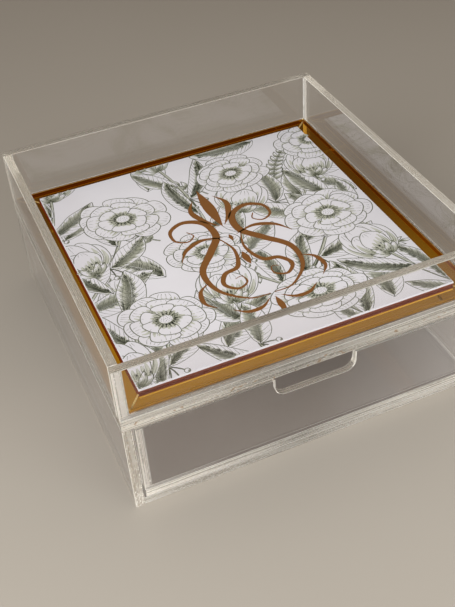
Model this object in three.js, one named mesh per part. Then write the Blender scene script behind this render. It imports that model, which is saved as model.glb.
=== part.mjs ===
// Clear acrylic vanity tray on a one-drawer case: a shallow tray with a framed print
// laid in it, glued on top of an open-fronted case, and a drawer that slides in the case.
// Millimetres, +Z up, front towards -Y, origin at the middle of the underside.
import * as THREE from "three";

// Driving dimensions: the whole object
const outerWidth = 254;
const outerDepth = 260;

// Driving dimensions: the case
const caseBottomThickness = 6;
const caseSideThickness = 6;
const caseSideHeight = 69.5;
const caseBackThickness = 6;
const caseTopThickness = 5;

// Driving dimensions: the tray on top of the case
const trayFloorThickness = 4;
const trayWallThickness = 6;
const trayWallHeight = 39.5;

// Driving dimensions: the drawer
const drawerBottomThickness = 6;
const drawerWallThickness = 5;
const notchWidth = 56;
const notchDepth = 14.6;
const notchFloorRadius = 7.5;
const notchLipRadius = 1;

// Driving dimensions: the gold border, the board inside it and the printed panel on the board
const stripShowing = 11.35;
const stripUnderBoard = 8;
const stripThickness = 0.55;
const lipHeight = 2.6;
const lipThickness = 0.9;
const boardThickness = 1.85;
const panelThickness = 1.5;

// Driving dimensions: how far the board and the panel reach past the even border on the left
const boardReachLeft = 2;
const panelReachLeft = 1.2;

// Clearances
const glueLine = 0.1;
const drawerUnderClearance = 0.3;
const drawerTopClearance = 1.2;
const drawerSideClearance = 1.75;
const drawerRearClearance = 2;
const borderWallClearance = 1.25;
const mitreClearance = 0.1;

// Broken edges of the cut sheets
const sheetArris = 0.4;
const stripArris = 0.15;
const boardArris = 0.15;
const panelArris = 0.25;
const cornerSteps = 8;

// Colours and finishes
const clearAcrylic = {
  color: "#e9ece6", roughness: 0.06, metalness: 0, transparent: true, opacity: 0.3,
};
const goldMirror = { color: "#c8963c", roughness: 0.08, metalness: 1 };
const stainedBoard = { color: "#5c2c20", roughness: 0.5, metalness: 0 };
const whitePanel = { color: "#e4e2e4", roughness: 0.2, metalness: 0 };

// Heights that follow from the stack of sheets
const caseTopBottom = caseSideHeight + glueLine;
const trayFloorBottom = caseTopBottom + caseTopThickness + glueLine;
const trayFloorTop = trayFloorBottom + trayFloorThickness;
const trayContentBottom = trayFloorTop + glueLine;
const boardBottom = trayContentBottom + stripThickness + glueLine;
const panelBottom = boardBottom + boardThickness + glueLine;
const drawerFloorBottom = caseBottomThickness + drawerUnderClearance;
const drawerWallBottom = drawerFloorBottom + drawerBottomThickness + glueLine;
const drawerWallHeight = caseTopBottom - drawerTopClearance - drawerWallBottom;

// Widths and depths that follow from the sheets round them
const caseInnerWidth = outerWidth - 2 * caseSideThickness;
const drawerWidth = caseInnerWidth - 2 * drawerSideClearance;
const drawerDepth = outerDepth - caseBackThickness - drawerRearClearance;
const borderWidth = outerWidth - 2 * (trayWallThickness + borderWallClearance);
const borderDepth = outerDepth - 2 * (trayWallThickness + borderWallClearance);
const boardWidth = borderWidth - 2 * stripShowing;
const boardDepth = borderDepth - 2 * stripShowing;
const stripWidth = stripShowing + stripUnderBoard;

function material(name, finish) {
  return new THREE.MeshStandardMaterial({ name, ...finish });
}

const acrylic = material("clear_acrylic", clearAcrylic);
const gold = material("gold_mirror", goldMirror);
const board = material("stained_board", stainedBoard);
const panel = material("white_panel", whitePanel);

// A closed outline through straight corners, centred on its own origin
function rectangle(width, height) {
  const halfWidth = width / 2;
  const halfHeight = height / 2;
  const outline = new THREE.Shape();
  outline.moveTo(-halfWidth, -halfHeight);
  outline.lineTo(halfWidth, -halfHeight);
  outline.lineTo(halfWidth, halfHeight);
  outline.lineTo(-halfWidth, halfHeight);
  outline.closePath();
  return outline;
}

// The drawer front: a rectangle with a finger notch sunk in the middle of its top edge
function notchedRectangle(width, height) {
  const halfWidth = width / 2;
  const halfHeight = height / 2;
  const halfNotch = notchWidth / 2;
  const notchFloor = halfHeight - notchDepth;
  const lip = halfNotch + notchLipRadius;
  const bend = halfNotch - notchFloorRadius;
  const lipCentre = halfHeight - notchLipRadius;
  const bendCentre = notchFloor + notchFloorRadius;
  const outline = new THREE.Shape();
  outline.moveTo(-halfWidth, -halfHeight);
  outline.lineTo(halfWidth, -halfHeight);
  outline.lineTo(halfWidth, halfHeight);
  outline.lineTo(lip, halfHeight);
  outline.absarc(lip, lipCentre, notchLipRadius, Math.PI / 2, Math.PI, false);
  outline.absarc(bend, bendCentre, notchFloorRadius, 0, -Math.PI / 2, true);
  outline.absarc(-bend, bendCentre, notchFloorRadius, -Math.PI / 2, -Math.PI, true);
  outline.absarc(-lip, lipCentre, notchLipRadius, 0, Math.PI / 2, false);
  outline.lineTo(-halfWidth, halfHeight);
  outline.closePath();
  return outline;
}

// The section of a border strip: a flat leg that runs inwards from a lip standing on its outer edge
function lippedSection() {
  const section = new THREE.Shape();
  section.moveTo(stripArris, 0);
  section.lineTo(stripWidth - stripArris, 0);
  section.lineTo(stripWidth, stripArris);
  section.lineTo(stripWidth, stripThickness - stripArris);
  section.lineTo(stripWidth - stripArris, stripThickness);
  section.lineTo(lipThickness, stripThickness);
  section.lineTo(lipThickness, lipHeight - stripArris);
  section.lineTo(lipThickness - stripArris, lipHeight);
  section.lineTo(stripArris, lipHeight);
  section.lineTo(0, lipHeight - stripArris);
  section.lineTo(0, stripArris);
  section.closePath();
  return section;
}

// A strip of that section along X, its lip on the -Y side and both its ends cut at 45 degrees
function mitredStrip(outerLength) {
  const halfOuter = outerLength / 2 - mitreClearance;
  const geometry = new THREE.ExtrudeGeometry(lippedSection(), { depth: 1, bevelEnabled: false });
  const points = geometry.getAttribute("position");
  for (let index = 0; index < points.count; index += 1) {
    const inwards = points.getX(index);
    const height = points.getY(index);
    const end = 2 * points.getZ(index) - 1;
    points.setXYZ(index, end * (halfOuter - inwards), inwards, height);
  }
  geometry.computeVertexNormals();
  return geometry;
}

// A sheet cut to an outline, all its edges broken, centred on its own thickness
function sheet(outline, thickness, arris) {
  const depth = thickness - 2 * arris;
  const geometry = new THREE.ExtrudeGeometry(outline, {
    depth,
    curveSegments: cornerSteps,
    bevelEnabled: true,
    bevelThickness: arris,
    bevelSize: arris,
    bevelOffset: -arris,
    bevelSegments: 1,
  });
  geometry.translate(0, 0, -depth / 2);
  return geometry;
}

function piece(name, geometry, finish) {
  const mesh = new THREE.Mesh(geometry, finish);
  mesh.name = name;
  return mesh;
}

// A sheet lying flat, its underside at the given height
function lyingSheet(name, width, depth, thickness, bottom, arris = sheetArris, finish = acrylic) {
  const mesh = piece(name, sheet(rectangle(width, depth), thickness, arris), finish);
  mesh.position.z = bottom + thickness / 2;
  return mesh;
}

// A sheet standing across the object, facing front, its middle at the given depth
function sheetAcross(name, outline, height, thickness, middleY, bottom) {
  const mesh = piece(name, sheet(outline, thickness, sheetArris), acrylic);
  mesh.rotation.x = Math.PI / 2;
  mesh.position.set(0, middleY, bottom + height / 2);
  return mesh;
}

// A sheet standing from front to back, its middle at the given place across and along
function sheetAlong(name, length, height, thickness, middleX, middleY, bottom) {
  const outline = rectangle(length, height);
  const mesh = piece(name, sheet(outline, thickness, sheetArris), acrylic);
  mesh.rotation.set(Math.PI / 2, 0, Math.PI / 2, "ZXY");
  mesh.position.set(middleX, middleY, bottom + height / 2);
  return mesh;
}

function buildCase() {
  const group = new THREE.Group();
  const backHeight = caseSideHeight - caseBottomThickness - glueLine;
  const backY = (outerDepth - caseBackThickness) / 2;
  const betweenSides = caseInnerWidth - 2 * glueLine;
  group.add(lyingSheet("case_bottom", betweenSides, outerDepth, caseBottomThickness, 0));
  group.add(sheetAcross(
    "case_back", rectangle(betweenSides, backHeight), backHeight, caseBackThickness,
    backY, caseBottomThickness + glueLine,
  ));
  for (const [name, side] of [["case_side_left", -1], ["case_side_right", 1]]) {
    const sideX = side * (outerWidth - caseSideThickness) / 2;
    group.add(sheetAlong(name, outerDepth, caseSideHeight, caseSideThickness, sideX, 0, 0));
  }
  group.add(lyingSheet("case_top", outerWidth, outerDepth, caseTopThickness, caseTopBottom));
  return group;
}

function buildTray() {
  const group = new THREE.Group();
  const wallY = (outerDepth - trayWallThickness) / 2;
  const wallX = (outerWidth - trayWallThickness) / 2;
  const sideLength = outerDepth - 2 * (trayWallThickness + glueLine);
  group.add(lyingSheet(
    "tray_floor", outerWidth, outerDepth, trayFloorThickness, trayFloorBottom,
  ));
  for (const [name, side] of [["tray_wall_front", -1], ["tray_wall_back", 1]]) {
    group.add(sheetAcross(
      name, rectangle(outerWidth, trayWallHeight), trayWallHeight, trayWallThickness,
      side * wallY, trayContentBottom,
    ));
  }
  for (const [name, side] of [["tray_wall_left", -1], ["tray_wall_right", 1]]) {
    group.add(sheetAlong(
      name, sideLength, trayWallHeight, trayWallThickness,
      side * wallX, 0, trayContentBottom,
    ));
  }
  return group;
}

// The border of four mitred strips, each turned to its own side of the tray
function buildBorder() {
  const group = new THREE.Group();
  const sides = [
    { name: "gold_strip_front", turn: 0, length: borderWidth, reach: borderDepth },
    { name: "gold_strip_right", turn: Math.PI / 2, length: borderDepth, reach: borderWidth },
    { name: "gold_strip_back", turn: Math.PI, length: borderWidth, reach: borderDepth },
    { name: "gold_strip_left", turn: -Math.PI / 2, length: borderDepth, reach: borderWidth },
  ];
  for (const { name, turn, length, reach } of sides) {
    const strip = piece(name, mitredStrip(length), gold);
    strip.position.y = -reach / 2;
    const turned = new THREE.Group();
    turned.rotation.z = turn;
    turned.add(strip);
    group.add(turned);
  }
  group.position.z = trayContentBottom;
  return group;
}

// The insert that lies on the border's legs: a dark board with a white printed panel on it, both
// a little wider on the left than the border leaves open
function buildInsert() {
  const group = new THREE.Group();
  const darkBoard = lyingSheet(
    "insert_board", boardWidth + boardReachLeft, boardDepth, boardThickness, boardBottom,
    boardArris, board,
  );
  const printedPanel = lyingSheet(
    "print_sheet", boardWidth + panelReachLeft, boardDepth, panelThickness, panelBottom,
    panelArris, panel,
  );
  darkBoard.position.x = -boardReachLeft / 2;
  printedPanel.position.x = -panelReachLeft / 2;
  group.add(darkBoard, printedPanel);
  return group;
}

function buildDrawer() {
  const group = new THREE.Group();
  const middleY = (drawerDepth - outerDepth) / 2;
  const endY = (drawerDepth - drawerWallThickness) / 2;
  const sideX = (drawerWidth - drawerWallThickness) / 2;
  const sideLength = drawerDepth - 2 * (drawerWallThickness + glueLine);
  group.add(lyingSheet(
    "drawer_bottom", drawerWidth, drawerDepth, drawerBottomThickness, drawerFloorBottom,
  ));
  const ends = [
    ["drawer_front", notchedRectangle(drawerWidth, drawerWallHeight), -1],
    ["drawer_back", rectangle(drawerWidth, drawerWallHeight), 1],
  ];
  for (const [name, outline, end] of ends) {
    group.add(sheetAcross(
      name, outline, drawerWallHeight, drawerWallThickness, end * endY, drawerWallBottom,
    ));
  }
  for (const [name, side] of [["drawer_side_left", -1], ["drawer_side_right", 1]]) {
    group.add(sheetAlong(
      name, sideLength, drawerWallHeight, drawerWallThickness,
      side * sideX, 0, drawerWallBottom,
    ));
  }
  group.position.y = middleY;
  return group;
}

const vanityTray = new THREE.Group();
vanityTray.add(buildCase());
vanityTray.add(buildTray());
vanityTray.add(buildBorder());
vanityTray.add(buildInsert());
vanityTray.add(buildDrawer());

export default vanityTray;
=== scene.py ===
"""Looks of a clear acrylic vanity tray on a one-drawer case, with a printed panel in a gold border."""
import math
import random
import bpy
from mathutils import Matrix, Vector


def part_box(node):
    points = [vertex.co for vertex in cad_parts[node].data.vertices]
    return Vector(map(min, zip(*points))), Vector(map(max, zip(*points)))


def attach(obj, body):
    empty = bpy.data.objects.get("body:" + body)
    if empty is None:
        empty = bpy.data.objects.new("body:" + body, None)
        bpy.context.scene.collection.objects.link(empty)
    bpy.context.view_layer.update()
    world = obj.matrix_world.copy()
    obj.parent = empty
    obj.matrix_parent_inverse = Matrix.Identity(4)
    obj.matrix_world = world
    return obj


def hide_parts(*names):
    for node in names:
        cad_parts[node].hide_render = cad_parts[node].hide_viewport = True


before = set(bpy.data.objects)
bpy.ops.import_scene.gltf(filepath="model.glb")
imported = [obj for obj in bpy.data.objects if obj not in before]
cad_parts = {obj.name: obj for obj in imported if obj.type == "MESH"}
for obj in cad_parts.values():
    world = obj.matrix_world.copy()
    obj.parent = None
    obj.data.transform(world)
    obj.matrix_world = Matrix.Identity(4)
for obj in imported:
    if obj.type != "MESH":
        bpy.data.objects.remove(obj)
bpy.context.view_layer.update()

from array import array
from functools import partial
from typing import NamedTuple

import bmesh
import bpy
from mathutils import Matrix, Quaternion, Vector

MM = 0.001
NEAR = MM / 100

# The camera of the photograph, in the model's frame
CAMERA_PLACE = Vector((-196.7, -505.2, 484.0)) * MM
CAMERA_AIM = Vector((-22.0, -41.4, 60.0)) * MM
CAMERA_ROLL = math.radians(-4.44)
CAMERA_LENS = 56.56
SENSOR_WIDTH = 36

# Acrylic sheet: how far a face's normal lies along the sheet's thickness where the face is polished,
# and upright where the face is level, how near to a sheet's end its outermost faces are, and the slow
# waves of its faces
CUT_LIMIT = 0.95
LEVEL_LIMIT = 0.5
OUTER_DEPTH = 0.1 * MM
WAVE_SIZE = 45 * MM
WAVE_DEPTH = 0.05 * MM
ACRYLIC_IOR = 1.49

# Its cut edges: saw marks and patches; white flecks, chips that lie closest low down and painted
# glints; bright rims, breakout along the faces and painted highlights of the arrises; cement stains.
# Buffed upper edges keep little of the streaks and of the flecks.
SAW_SPACING = 0.8 * MM
SAW_LENGTH = 90 * MM
SAW_DEPTH = 0.02 * MM
PATCH_LENGTH = 30 * MM
PATCH_HEIGHT = 3 * MM
PATCH_SHARE = 0.35
FLECK_SIZE = 1.1 * MM
FLECK_HEIGHT = 28 * MM
KNOCKED_SHARE = 0.08
RIM_WIDTH = 0.45 * MM
STAIN_LENGTH = 5 * MM
STAIN_HEIGHT = 2.5 * MM
STAIN_HAZE = 0.3
UPPER_STREAKS = 0.2
UPPER_FLECKS = 0.15

# Places along the width: smeared cement thins out from the first to the second, from there the edges'
# haze grows again up to the third as painted light from the right, the drawer's weld is clean from the
# fourth on, and a film of haze on its polished faces, painted light that lightens the view in at the
# right, grows between the last two
SMEAR_START = -125 * MM
HAZE_TURN = -15 * MM
RIGHT_LIGHT_END = 60 * MM
WELD_START = -60 * MM
RIGHT_HAZE_START = 0 * MM
RIGHT_HAZE_END = 110 * MM

# Cement squeezed out along the inner corners of the glued sheets
BEAD_RADIUS = 0.8 * MM
DRAWER_BEAD_RADIUS = 0.35 * MM
BEAD_GAP = 0.05 * MM
BEAD_STEPS = 4

# The border strips: a lip standing on a thin leg, its inner arris rubbed round, its ends sawn with a
# falling arris, which shows its sawn finish on all faces that look up at all. The mirror is the first
# of a strip's finishes, and the other two have these numbers.
LIP_THICKNESS = 0.9 * MM
LEG_THICKNESS = 0.55 * MM
OUTER_ARRIS = 0.15 * MM
OUTER_STEPS = 2
INNER_ROUND = 0.5 * MM
INNER_STEPS = 4
MITRE_BAND = 0.5 * MM
MITRE_FALL = 0.1 * MM
UPWARD_LIMIT = 0.1
LIP_FINISH = 1
MITRE_FINISH = 2

# The floor: its size and that of its clouds, in metres
FLOOR_SIZE = 12
CLOUD_SIZE = 0.4

# The print: heights above its panel, and the cell and step with which hidden lines are cut, in mm
PALE_LIFT = 0.01 * MM
DEEP_LIFT = 0.02 * MM
INK_LIFT = 0.03 * MM
FOIL_LIFT = 0.06 * MM
INK_CELL = 0.25
INK_STEP = 0.5
PRINT_SEED = 7
ORNAMENT_PLACE = (0, -8)
ORNAMENT_STEP = 0.8

# Widths of the print's pen lines, in mm
OUTLINE_PEN = 0.56
STEM_PEN = 0.46
MIDRIB_PEN = 0.4
VEIN_PEN = 0.36
FAN_PEN = 0.34
SHADE_PEN = 0.3
TIP_PEN = 0.26
HATCH_PEN = 0.24
BERRY_PEN = 0.5
STAMEN_PEN = 0.55
POLLEN_PEN = 0.7

# Widths of stems, spacing of a sprig's leaves, length of the twigs and size of their berries, in mm
STEM_WIDTH = 2.0
SPRIG_WIDTH = 0.9
PAIR_SPACING = 6.5
TWIG_WIDTH = 0.5
TWIG_LENGTH = 11
BERRY_RADIUS = 1.9

# A leaf: the share of its width at which the midrib's two lines lie, the side veins' spacing in mm, the
# share of its length where they start and the share they fill, how far each rises to the edge, how it
# curves, and the shares of the width that it and the shade beside it pass through
MIDRIB_GAP = 0.035
VEIN_SPACING = 5
VEINS_FOOT = 0.04
VEINS_LENGTH = 0.84
VEIN_RISE = 0.15
VEIN_CURVE = 1.4
VEIN_SHARES = (0.04, 0.25, 0.5, 0.75, 1)
SHADE_SHARES = (0.04, 0.2, 0.4, 0.6)

# Outlines of petals and leaves: how fast they widen, where they are widest, how blunt their tips are
ROUND_PETAL = (0.8, 4.5, 0.5)
CUPPED_PETAL = (0.6, 2.4, 0.7)
BROAD_LEAF = (0.7, 1.5, 0.95)
NARROW_LEAF = (0.55, 1.25, 1.0)

# An open blossom's rings of petals, from the outermost: each one's number of petals, their length and
# width in shares of the blossom, the share that the next ring hides, how far their shading reaches
# and how many lines it has. Then its heart's share of the blossom, the stamens in it, each turned on
# from the last by one angle, and those round it.
PETAL_RINGS = [
    (9, 0.5, 0.36, 0.62, 0.6, 13),
    (7, 0.39, 0.33, 0.54, 0.6, 11),
    (6, 0.27, 0.26, 0.4, 0.4, 5),
]
HEART_SHARE = 0.085
INNER_STAMENS = 20
STAMEN_TURN = 2.4
OUTER_STAMENS = 16

# A half-open blossom's petals, from the back: each one's lean in radians and its share of the height
CUP_PETALS = [
    (-0.75, 0.86),
    (0.75, 0.86),
    (-0.42, 0.97),
    (0.42, 0.97),
    (0.0, 1.0),
    (-0.3, 0.72),
    (0.3, 0.70),
]
SEPAL_LEANS = (-1.35, 1.35, -0.75, 0.75)

# Each spray: its blossom's place in half panels, kind and size in mm, then its stem's heading, length
# in mm and bend, and its number of leaves
SPRAYS = [
    (-0.56, 0.50, "open", 62, 3.5, 120, 0.5, 4),
    (0.30, 0.66, "open", 56, 3.0, 110, -0.5, 4),
    (0.68, -0.06, "open", 60, 3.6, 110, 0.6, 4),
    (-0.20, -0.08, "open", 54, 2.8, 110, -0.6, 3),
    (-0.66, -0.56, "open", 58, 3.4, 70, 0.3, 3),
    (0.26, -0.74, "open", 60, 2.6, 60, 0.3, 3),
    (1.0, 0.80, "open", 56, 3.5, 90, 0.4, 3),
    (-0.14, 0.93, "cup", 44, 2.9, 100, 0.4, 4),
    (0.82, 0.36, "cup", 40, 3.3, 90, -0.4, 3),
    (0.18, 0.20, "cup", 42, 3.5, 90, 0.4, 3),
    (-0.90, 0.02, "cup", 42, 2.9, 90, 0.5, 3),
    (-0.24, -0.60, "cup", 44, 3.3, 70, -0.4, 3),
    (0.82, -0.62, "cup", 42, 2.8, 70, -0.4, 3),
    (-0.94, 0.92, "cup", 44, 3.3, 80, 0.3, 3),
    (-0.98, -0.98, "cup", 40, 3.1, 40, 0.3, 2),
]

# Each filler: place in half panels, kind, length in mm, heading, bend
FILLERS = [
    (-0.30, 0.72, "leaf", 60, 0.5, -0.6),
    (0.62, 0.98, "leaf", 56, -1.9, 0.7),
    (0.52, 0.40, "sprig", 46, 0.3, 0.5),
    (-0.42, 0.16, "sprig", 50, -0.9, 0.6),
    (0.36, -0.30, "leaf", 62, 0.9, 0.6),
    (-0.52, -0.20, "leaf", 60, -0.5, -0.7),
    (0.02, -0.36, "sprig", 48, -2.5, 0.6),
    (0.56, -0.40, "sprig", 44, 2.2, -0.5),
    (-0.44, -0.92, "leaf", 58, 0.7, 0.6),
    (0.62, -0.96, "leaf", 52, 0.4, -0.7),
    (-0.98, -0.28, "leaf", 50, 0.9, 0.5),
    (0.06, 0.50, "sprig", 42, -0.5, -0.5),
    (-0.98, 0.44, "leaf", 48, 0.6, 0.6),
    (0.98, 0.08, "leaf", 48, -0.6, -0.5),
]


def srgb(text):
    """The linear colour of an sRGB hex value."""
    channels = [int(text[start:start + 2], 16) / 255 for start in (1, 3, 5)]
    return tuple(c / 12.92 if c <= 0.04045 else ((c + 0.055) / 1.055) ** 2.4 for c in channels) + (1,)


def add_node(tree, kind, inputs=None, **settings):
    """Adds one shader node with its settings, its values and its links, and gives its outputs. Inputs
    and outputs go by name or by number: 6 and 7 are the two colours that a Mix node takes, and 2 is
    the colour that it gives."""
    made = tree.nodes.new("ShaderNode" + kind)
    for name, value in settings.items():
        setattr(made, name, value)
    for name, value in (inputs or {}).items():
        if isinstance(value, bpy.types.NodeSocket):
            tree.links.new(value, made.inputs[name])
        else:
            made.inputs[name].default_value = value
    return made.outputs


def start_material(name):
    """A new material with an empty node tree, and the function that adds a node to it."""
    material = bpy.data.materials.new(name)
    material.use_nodes = True
    tree = material.node_tree
    tree.nodes.clear()
    return material, partial(add_node, tree)


class Edges(NamedTuple):
    """How the faces of one acrylic sheet look, in shares from 0 for clear to 1 for white."""
    axis: str  # the axis along the sheet's thickness
    top: float  # haze of upper edges, which are buffed smoothest
    end: float  # haze of ends and undersides
    foot: float = 1.0  # share of that haze on undersides
    side: float = 1.0  # share of that haze on the outermost faces to the left and right
    middle: float = 1.0  # share of haze in the middle, where less cement was smeared over the edges
    right: float = 1.0  # share of haze at the right, where it grows again from the middle: painted light from the right
    streaks: float = 0.6  # how much saw marks and patches vary the haze
    flecks: float = 0.3  # how white the flecks are: chips and painted glints
    rim: float = 0.16  # how white the rims are: breakout where the saw broke out, and painted highlights of the arrises
    stains: float = 0.0  # how brown the dried cement is
    film: float = 0.0  # haze of the polished faces, growing to the right: painted light that lightens the view in there
    welded: bool = False  # whether the view goes straight on through a cleanly welded underside


class Faces(NamedTuple):
    """Where one sheet's faces of each kind are: each socket gives 1 there and 0 elsewhere."""
    cut: bpy.types.NodeSocket
    under: bpy.types.NodeSocket
    upper: bpy.types.NodeSocket
    outermost: bpy.types.NodeSocket


class Marks(NamedTuple):
    """Patterns on one sheet's cut edges: each socket gives their strength, up to 1."""
    saw: bpy.types.NodeSocket
    streaks: bpy.types.NodeSocket
    glints_and_chips: bpy.types.NodeSocket
    rims_and_highlights: bpy.types.NodeSocket
    stains: bpy.types.NodeSocket


def uneven(add, sizes, detail, roughness=0.5):
    """An uneven pattern with these sizes along X, Y and Z."""
    scale = [1 / size for size in sizes]
    place = add("Mapping", {"Vector": add("TexCoord")["Object"], "Scale": scale})[0]
    return add("TexNoise", {"Vector": place, "Scale": 1, "Detail": detail, "Roughness": roughness})["Fac"]


def sheet_faces(add, node, axis):
    """Tells a sheet's faces apart by the way they look and by their place. An underside is told by its
    place, because to a ray inside the sheet its normal points up."""
    low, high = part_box(node)
    place = add("TexCoord")
    facing = add("SeparateXYZ", {"Vector": place["Normal"]})
    spot = add("SeparateXYZ", {"Vector": place["Object"]})
    along = add("Math", {0: facing[axis]}, operation="ABSOLUTE")[0]
    upright = add("Math", {0: facing["Z"]}, operation="ABSOLUTE")[0]
    level = add("Math", {0: upright, 1: LEVEL_LIMIT}, operation="GREATER_THAN")[0]
    lowest = add("Math", {0: spot["Z"], 1: low[2] + OUTER_DEPTH}, operation="LESS_THAN")[0]
    under = add("Math", {0: lowest, 1: level}, operation="MULTIPLY")[0]
    from_centre = add("Math", {0: spot["X"], 1: (low[0] + high[0]) / 2}, operation="SUBTRACT")[0]
    from_centre = add("Math", {0: from_centre}, operation="ABSOLUTE")[0]
    reach = (high[0] - low[0]) / 2 - OUTER_DEPTH
    far_out = add("Math", {0: from_centre, 1: reach}, operation="GREATER_THAN")[0]
    sideways = add("Math", {0: facing["X"]}, operation="ABSOLUTE")[0]
    return Faces(
        cut=add("Math", {0: along, 1: CUT_LIMIT}, operation="LESS_THAN")[0],
        under=under,
        upper=add("Math", {0: level, 1: under}, operation="SUBTRACT")[0],
        outermost=add("Math", {0: sideways, 1: far_out}, operation="MULTIPLY")[0],
    )


def edge_marks(add, node, edges, cut):
    """Saw marks, the streaks and patches they make, white flecks (chipped spots that lie closest near
    the foot, where the edges were knocked, and painted glints), rim lines along both faces (breakout
    and painted highlights of the arrises), and stains."""
    low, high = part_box(node)
    across = "XYZ".index(edges.axis)
    spot = add("SeparateXYZ", {"Vector": add("TexCoord")["Object"]})
    saw_sizes = [SAW_LENGTH] * 3
    saw_sizes[across] = SAW_SPACING
    patch_sizes = [PATCH_LENGTH] * 3
    patch_sizes[across] = PATCH_HEIGHT
    saw = uneven(add, saw_sizes, 2, 0.6)
    streaky = add("MapRange", {"Value": saw, "From Min": 0.36, "From Max": 0.64})[0]
    patchy = add("MapRange", {"Value": uneven(add, patch_sizes, 2), "From Min": 0.3, "From Max": 0.7})[0]
    knocked = {"Value": spot["Z"], "From Max": FLECK_HEIGHT, "To Min": KNOCKED_SHARE, "To Max": 0}
    # white flecks: chipped spots, denser near the foot, and painted glints
    glints_and_chips = uneven(add, [FLECK_SIZE] * 3, 2, 0.65)
    glints_and_chips = add("Math", {0: glints_and_chips, 1: add("MapRange", knocked)[0]}, operation="ADD")[0]
    core = (low[across] + high[across]) / 2
    half = (high[across] - low[across]) / 2
    from_core = add("Math", {0: spot[edges.axis], 1: core}, operation="SUBTRACT")[0]
    from_core = add("Math", {0: from_core}, operation="ABSOLUTE")[0]
    # rim lines along both faces: breakout, and painted highlights of the arrises
    rim_band = {"Value": from_core, "From Min": half - RIM_WIDTH, "From Max": half - RIM_WIDTH / 2}
    stains = {"Value": uneven(add, (STAIN_LENGTH, STAIN_LENGTH, STAIN_HEIGHT), 2),
              "From Min": 0.6, "From Max": 0.66, "To Max": edges.stains}
    return Marks(
        saw=saw,
        streaks=add("Mix", {0: PATCH_SHARE, 2: streaky, 3: patchy})[0],
        glints_and_chips=add("MapRange", {"Value": glints_and_chips, "From Min": 0.6, "From Max": 0.63})[0],
        rims_and_highlights=add("Math", {0: add("MapRange", rim_band)[0], 1: cut}, operation="MULTIPLY")[0],
        stains=add("MapRange", stains)[0],
    )


def sheet_haze(add, edges, faces, marks):
    """How white each spot of a sheet is: the haze of its edges with the shares that multiply it, among
    them a rise towards the right that is painted light, then the marks that add to it, then the film
    on the polished faces, painted light that grows towards the right."""
    spot = add("SeparateXYZ", {"Vector": add("TexCoord")["Object"]})
    left_part = add("MapRange", {"Value": spot["X"], "From Min": SMEAR_START, "From Max": HAZE_TURN,
                                 "To Min": 1, "To Max": edges.middle})[0]
    # painted light: from the middle the haze grows again towards the right, as if lit from the right
    painted_light_right = add("MapRange", {"Value": spot["X"], "From Min": HAZE_TURN, "From Max": RIGHT_LIGHT_END,
                                  "To Max": edges.right - edges.middle})[0]
    swing = add("MapRange", {"Value": faces.upper, "To Min": edges.streaks, "To Max": UPPER_STREAKS})[0]
    streaks = add("Math", {0: marks.streaks, 1: 0.5}, operation="SUBTRACT")[0]
    haze = add("MapRange", {"Value": faces.upper, "To Min": edges.end, "To Max": edges.top})[0]
    for share in (
        add("MapRange", {"Value": faces.outermost, "To Min": 1, "To Max": edges.side})[0],
        add("MapRange", {"Value": faces.under, "To Min": 1, "To Max": edges.foot})[0],
        add("Math", {0: streaks, 1: swing, 2: 1}, operation="MULTIPLY_ADD")[0],
        add("Math", {0: left_part, 1: painted_light_right}, operation="ADD")[0],
    ):
        haze = add("Math", {0: haze, 1: share}, operation="MULTIPLY")[0]
    whiteness = {"Value": faces.upper, "To Min": edges.flecks, "To Max": edges.flecks * UPPER_FLECKS}
    glints_and_chips = add("MapRange", whiteness)[0]
    for mark, share in ((marks.glints_and_chips, glints_and_chips), (marks.rims_and_highlights, edges.rim), (marks.stains, STAIN_HAZE)):
        haze = add("Math", {0: mark, 1: share, 2: haze}, operation="MULTIPLY_ADD")[0]
    haze = add("Math", {0: haze, 1: faces.cut}, operation="MULTIPLY", use_clamp=True)[0]
    # painted light: a white haze on the polished faces that grows towards the right, lightening the view in
    # there
    if edges.film:
        growing = add("MapRange", {"Value": spot["X"], "From Min": RIGHT_HAZE_START, "From Max": RIGHT_HAZE_END})[0]
        painted_light_haze = add("MapRange", {"Value": uneven(add, [WAVE_SIZE] * 3, 2),
                                 "To Min": 0.6 * edges.film, "To Max": 1.4 * edges.film})[0]
        painted_light_haze = add("Math", {0: painted_light_haze, 1: growing}, operation="MULTIPLY")[0]
        polished = add("Math", {0: 1, 1: faces.cut}, operation="SUBTRACT")[0]
        haze = add("Math", {0: painted_light_haze, 1: polished, 2: haze}, operation="MULTIPLY_ADD")[0]
    return haze


def edge_colour(add, marks):
    """The colour of sawn acrylic: cream, whiter at streaks, at flecks (chipped spots and painted
    glints) and at rim lines (breakout and painted highlights), and brown at stains.
    """
    whiter = add("Math", {0: marks.streaks, 1: 0.5}, operation="MULTIPLY")[0]
    whiter = add("Math", {0: marks.rims_and_highlights, 1: 0.3, 2: whiter}, operation="MULTIPLY_ADD")[0]
    whiter = add("Math", {0: marks.glints_and_chips, 1: 0.6, 2: whiter}, operation="MULTIPLY_ADD", use_clamp=True)[0]
    colour = srgb("#e9e0d0")
    for factor, over in ((whiter, srgb("#fffdf6")), (marks.stains, srgb("#9d8163"))):
        colour = add("Mix", {0: factor, 6: colour, 7: over}, data_type="RGBA")[2]
    return colour


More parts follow.
